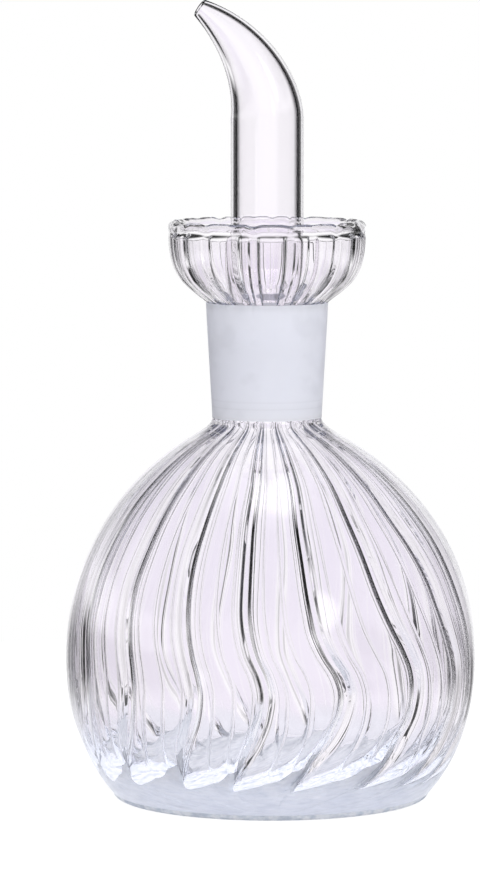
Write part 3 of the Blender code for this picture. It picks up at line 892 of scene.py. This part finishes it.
def hazy_glass():
    """Thin haze on the glass where the ground face ends."""
    material, tree, shader, place = glass("hazy_glass_look", HAZE_ROUGHNESS)
    shader.inputs["Base Color"].default_value = HAZE_COLOUR
    clear = tree.spread(tree.noise(place, scale=300, detail=2), 0, 1, 0, HAZE_CLEAR_SHARE)
    tree.links.new(clear, shader.inputs["Transmission Weight"])
    return material


def cloudy_glass(name, through_share, streak_colours):
    """Glass full of fine bubbles and streaks. A share of the light that reaches it goes through."""
    material, tree, shader, place = glass(name, CLOUD_ROUGHNESS)
    shader.inputs["Base Color"].default_value = CLOUD_COLOUR
    clear = tree.spread(tree.noise(place, scale=220, detail=4), *CLOUD_NOISE_LEVELS, *CLOUD_CLEAR_SHARES)
    tree.links.new(clear, shader.inputs["Transmission Weight"])
    through = tree.nodes.new("ShaderNodeBsdfTranslucent")
    streak = tree.spread(tree.noise(place, scale=330, detail=5), *STREAK_NOISE_LEVELS)
    tree.links.new(tree.mix(streak, *streak_colours), through.inputs["Color"])
    tree.surface(through_share, shader.outputs["BSDF"], through.outputs["BSDF"])
    return material


# Studio

# Straight behind the bottle, as an angle round from +X in degrees, and the level of the dark panels
BEHIND = 80
DARK_LEVEL = 0.015

# Panels round the bottle, by degrees away from straight behind, with their fade by degrees up
SIDE_LEVELS = (
    (0, 1.08), (17, 1.08), (23, 0.6), (27, 0.12), (30, DARK_LEVEL), (135, DARK_LEVEL), (150, 0.6),
    (180, 0.6))
TOP_LEVELS = ((-90, 1), (14, 1), (22, 0.35), (27, DARK_LEVEL), (90, DARK_LEVEL))
PANEL_SHARES = ((-15, 0), (-9, 1), (62, 1), (75, 0))

# A light patch just above the horizon to the left, for the rays that the heel mirrors
UPWARD_LEVEL = 0.9
UPWARD_SHARES = ((1, 0), (3, 1), (13, 1), (17, 0))
UPWARD_LEFT_LEVELS = ((-180, 0), (18, 0), (26, UPWARD_LEVEL), (125, UPWARD_LEVEL), (180, 0))

# Below the horizon: grey strips round the bottle, and dark sides lower down
LOW_SHARES = ((-60, 0), (-40, 1), (0, 1), (5, 0))
LOW_LEVEL = 0.9
DEEP_LEVELS = ((-60, 1), (-45, LOW_LEVEL), (-22, LOW_LEVEL), (-17, 1))
STRIPS = 8
STRIP_LEVEL = 0.75
STRIP_LEVELS = ((0.0, 1), (0.34, 1), (0.38, STRIP_LEVEL), (0.62, STRIP_LEVEL), (0.66, 1), (1.0, 1))
LOW_SIDE_LEVELS = ((0, 1), (20, 1), (28, DARK_LEVEL), (95, DARK_LEVEL), (115, 1), (180, 1))
LOW_SIDE_SHARES = ((-58, 0), (-50, 1), (-24, 1), (-19, 0))

# A pale card low behind the bottle, seen through the bulb, by degrees away from straight behind and up
CARD_COLOUR = (0.965, 0.935, 1.01, 1)
CARD_SIDE_SHARES = ((0, 1), (3, 0.95), (7, 0.35), (11, 0), (180, 0))
CARD_UP_SHARES = ((-22, 0), (-17, 1), (-4.5, 1), (-2.5, 0))

# Soft lights that only reflections see: direction round and up in degrees, width, and brightness
LIGHTS = (
    (-63, 24, 7, 5), (-79, 11, 4, 2), (-135, -5, 4, 1.5), (-105, 82, 9, 4), (40, 28, 10, 0.8),
    (150, 25, 9, 0.8))
LIGHT_CORE_SHARE = 0.5
LIGHT_EDGE_SHARE = 1.5

# Matt surfaces get more light from above, and from the camera's side, a little to its right
MATT_LEVEL = 0.79
MATT_SWING = 0.70
MATT_RISE = 0.5
MATT_DIRECTION = -80

# The floor, whose glow to the camera leaves a light shadow on it
FLOOR_RADIUS = 0.3
FLOOR_DEPTH = 0.0002
FLOOR_GLOW_LEVEL = 1.16
FLOOR_GLOW_SHARE = 0.74

# The table under the bottle as glass and matt surfaces see it, fading out from one radius to the other
LOW_CARD_DEPTH = 0.0004
LOW_CARD_FADE_RADIUS = 0.08
LOW_CARD_RADIUS = 0.15
LOW_CARD_COLOUR = (0.93, 0.945, 1.0, 1)
LOW_CARD_LEVEL = 0.97
LOW_CARD_MATT_LEVEL = 1.32
DISC_CORNERS = 96


def side_panels(tree, turn_share, height):
    """Levels of the panels above the horizon."""
    sides = tree.side_ramp(turn_share, SIDE_LEVELS)
    sides = tree.math("MULTIPLY", sides, tree.height_ramp(height, TOP_LEVELS))
    upward = tree.height_ramp(height, UPWARD_SHARES)
    upward = tree.math("MULTIPLY", upward, tree.turn_ramp(turn_share, UPWARD_LEFT_LEVELS))
    return tree.math("MAXIMUM", sides, upward)


def low_part(tree, turn, turn_share, height):
    """Levels below the horizon, white again straight down."""
    strip = tree.math("FRACT", tree.math("MULTIPLY_ADD", turn, STRIPS / math.tau, STRIPS))
    strips = tree.math("MULTIPLY", tree.ramp(strip, STRIP_LEVELS), tree.height_ramp(height, DEEP_LEVELS))
    sides = tree.side_ramp(turn_share, LOW_SIDE_LEVELS)
    levels = tree.mix(tree.height_ramp(height, LOW_SIDE_SHARES), strips, sides)
    return tree.mix(tree.height_ramp(height, LOW_SHARES), (1, 1, 1, 1), levels)


def mirrored_lights(tree, direction, path):
    """The soft lights, for mirrored rays alone and not for those that glass bends."""
    glow = None
    for round_degrees, up_degrees, width, strength in LIGHTS:
        round_angle = math.radians(round_degrees)
        up_angle = math.radians(up_degrees)
        flat = math.cos(up_angle)
        near = tree.nodes.new("ShaderNodeVectorMath")
        near.operation = "DOT_PRODUCT"
        tree.links.new(direction, near.inputs[0])
        near.inputs[1].default_value = (
            flat * math.cos(round_angle), flat * math.sin(round_angle), math.sin(up_angle))
        edge = math.cos(math.radians(width * LIGHT_EDGE_SHARE))
        core = math.cos(math.radians(width * LIGHT_CORE_SHARE))
        spot = tree.spread(near.outputs["Value"], edge, core, 0, strength, "SMOOTHSTEP")
        glow = spot if glow is None else tree.math("ADD", glow, spot)
    mirrored = tree.math("SUBTRACT", path["Is Glossy Ray"], path["Is Transmission Ray"])
    return tree.math("MULTIPLY", glow, tree.math("MAXIMUM", mirrored, 0))


def matt_light(tree, turn, up):
    """The level that matt surfaces get from each direction."""
    toward = tree.math("COSINE", tree.math("SUBTRACT", turn, math.radians(MATT_DIRECTION)))
    flat = tree.math("SUBTRACT", 1, tree.math("MULTIPLY", up, up))
    swing = tree.math("MULTIPLY", tree.math("MULTIPLY", toward, flat), MATT_SWING)
    rise = tree.math("MULTIPLY", up, MATT_RISE)
    return tree.math("ADD", tree.math("ADD", swing, rise), MATT_LEVEL)


def matt_ray(tree, path):
    """1 for a ray that has left a matt surface, or that is neither mirrored, bent nor the camera's own."""
    after_matt = tree.math("MINIMUM", path["Diffuse Depth"], 1)
    sharp = tree.math("ADD", path["Is Glossy Ray"], path["Is Transmission Ray"])
    sharp = tree.math("MINIMUM", tree.math("ADD", sharp, path["Is Camera Ray"]), 1)
    return tree.math("MAXIMUM", after_matt, tree.math("SUBTRACT", 1, sharp))


def make_world():
    """White to the camera, and soft light on matt surfaces. Glass sees the dark side panels too."""
    world = bpy.data.worlds.new("studio")
    bpy.context.scene.world = world
    tree = Tree(world)
    direction = tree.nodes.new("ShaderNodeTexCoord").outputs["Generated"]
    path = tree.nodes.new("ShaderNodeLightPath").outputs
    parts = tree.nodes.new("ShaderNodeSeparateXYZ")
    tree.links.new(direction, parts.inputs["Vector"])
    up = parts.outputs["Z"]
    turn = tree.math("ARCTAN2", parts.outputs["Y"], parts.outputs["X"])
    # As a share of a full turn, with straight behind at a half
    from_behind = tree.math("SUBTRACT", turn, math.radians(BEHIND))
    turn_share = tree.math("FRACT", tree.math("MULTIPLY_ADD", from_behind, 1 / math.tau, 1.5))
    height = tree.math("MULTIPLY_ADD", up, 0.5, 0.5)

    seen = tree.mix(tree.height_ramp(height, PANEL_SHARES), low_part(tree, turn, turn_share, height),
                    side_panels(tree, turn_share, height))
    card = tree.math("MULTIPLY", tree.side_ramp(turn_share, CARD_SIDE_SHARES),
                     tree.height_ramp(height, CARD_UP_SHARES))
    seen = tree.mix(card, seen, CARD_COLOUR)
    seen = tree.mix(1, seen, mirrored_lights(tree, direction, path), "ADD")
    seen = tree.mix(matt_ray(tree, path), seen, matt_light(tree, turn, up))
    seen = tree.mix(path["Is Camera Ray"], seen, (1, 1, 1, 1))
    tree.links.new(seen, tree.nodes["Background"].inputs["Color"])


def disc_mesh(name, radius, depth):
    mesh = bpy.data.meshes.new(name)
    turns = np.arange(DISC_CORNERS) * math.tau / DISC_CORNERS
    points = [(radius * math.cos(turn), radius * math.sin(turn), -depth) for turn in turns]
    mesh.from_pydata(points, [], [tuple(range(DISC_CORNERS))])
    return mesh


def make_floor():
    """White, with the bottle's shadow. Only the camera sees it."""
    material = bpy.data.materials.new("floor_white")
    tree = Tree(material)
    shader = tree.nodes["Principled BSDF"]
    shader.inputs["Base Color"].default_value = (1, 1, 1, 1)
    shader.inputs["Roughness"].default_value = 1
    shader.inputs["Specular IOR Level"].default_value = 0
    glow = tree.nodes.new("ShaderNodeEmission")
    glow.inputs["Strength"].default_value = FLOOR_GLOW_LEVEL
    path = tree.nodes.new("ShaderNodeLightPath").outputs
    share = tree.math("MULTIPLY", path["Is Camera Ray"], FLOOR_GLOW_SHARE)
    tree.surface(share, shader.outputs["BSDF"], glow.outputs["Emission"])
    floor = add(disc_mesh("floor", FLOOR_RADIUS, FLOOR_DEPTH), [material])
    floor.visible_transmission = False
    floor.visible_glossy = False
    floor.visible_diffuse = False


def make_low_card():
    """The table under the bottle, as the glass and its cloudy heel see it."""
    material = bpy.data.materials.new("low_card_look")
    tree = Tree(material)
    glow = tree.nodes.new("ShaderNodeEmission")
    glow.inputs["Color"].default_value = LOW_CARD_COLOUR
    path = tree.nodes.new("ShaderNodeLightPath").outputs
    more = tree.math("MULTIPLY", path["Is Diffuse Ray"], LOW_CARD_MATT_LEVEL - LOW_CARD_LEVEL)
    tree.links.new(tree.math("ADD", more, LOW_CARD_LEVEL), glow.inputs["Strength"])
    place = tree.nodes.new("ShaderNodeTexCoord").outputs["Object"]
    reach = tree.nodes.new("ShaderNodeVectorMath")
    reach.operation = "LENGTH"
    tree.links.new(place, reach.inputs[0])
    fade = tree.spread(reach.outputs["Value"], LOW_CARD_RADIUS, LOW_CARD_FADE_RADIUS)
    clear = tree.nodes.new("ShaderNodeBsdfTransparent")
    tree.surface(fade, clear.outputs["BSDF"], glow.outputs["Emission"])
    material.cycles.emission_sampling = "NONE"
    card = add(disc_mesh("low_card", LOW_CARD_RADIUS, LOW_CARD_DEPTH), [material])
    card.visible_camera = False
    card.visible_shadow = False


def make_camera():
    camera = bpy.data.objects.new("camera", bpy.data.cameras.new("camera"))
    bpy.context.scene.collection.objects.link(camera)
    bpy.context.scene.camera = camera
    back = Vector((math.sin(CAMERA_AZIMUTH), -math.cos(CAMERA_AZIMUTH), 0))
    right = Vector((math.cos(CAMERA_AZIMUTH), math.sin(CAMERA_AZIMUTH), 0))
    camera.location = back * CAMERA_DISTANCE + Vector((0, 0, CAMERA_HEIGHT))
    aim = right * (PHOTO_MIDDLE_PX - AXIS_PX) * METRES_PER_PX + Vector((0, 0, AIM_HEIGHT))
    camera.rotation_mode = "QUATERNION"
    camera.rotation_quaternion = (aim - camera.location).to_track_quat("-Z", "Y")
    camera.data.sensor_width = SENSOR
    distance = math.hypot(CAMERA_DISTANCE, CAMERA_HEIGHT - AIM_HEIGHT)
    camera.data.lens = SENSOR * distance / METRES_PER_PX / PHOTO_LONG_SIDE_PX


scene = bpy.context.scene
scene.view_settings.view_transform = "Standard"
scene.cycles.max_bounces = 32
scene.cycles.transmission_bounces = 32
scene.cycles.glossy_bounces = 12
scene.cycles.diffuse_bounces = 10

# In the order of CLEAR, GROUND, HAZY, CLOUDY and FOOT
finishes = [
    clear_glass(),
    ground_glass(),
    hazy_glass(),
    cloudy_glass("cloudy_glass_look", HEEL_THROUGH_SHARE, HEEL_STREAK_COLOURS),
    cloudy_glass("foot_glass_look", FOOT_THROUGH_SHARE, FOOT_STREAK_COLOURS)]
bottle = make_bottle(finishes)
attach(bottle, "bottle")
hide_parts("bottle_bulb", "neck_socket", "drip_cup")
stopper = make_stopper(finishes)
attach(stopper, "spout")
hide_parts("ground_cone", "spout_tube")
make_world()
make_floor()
make_low_card()
make_camera()
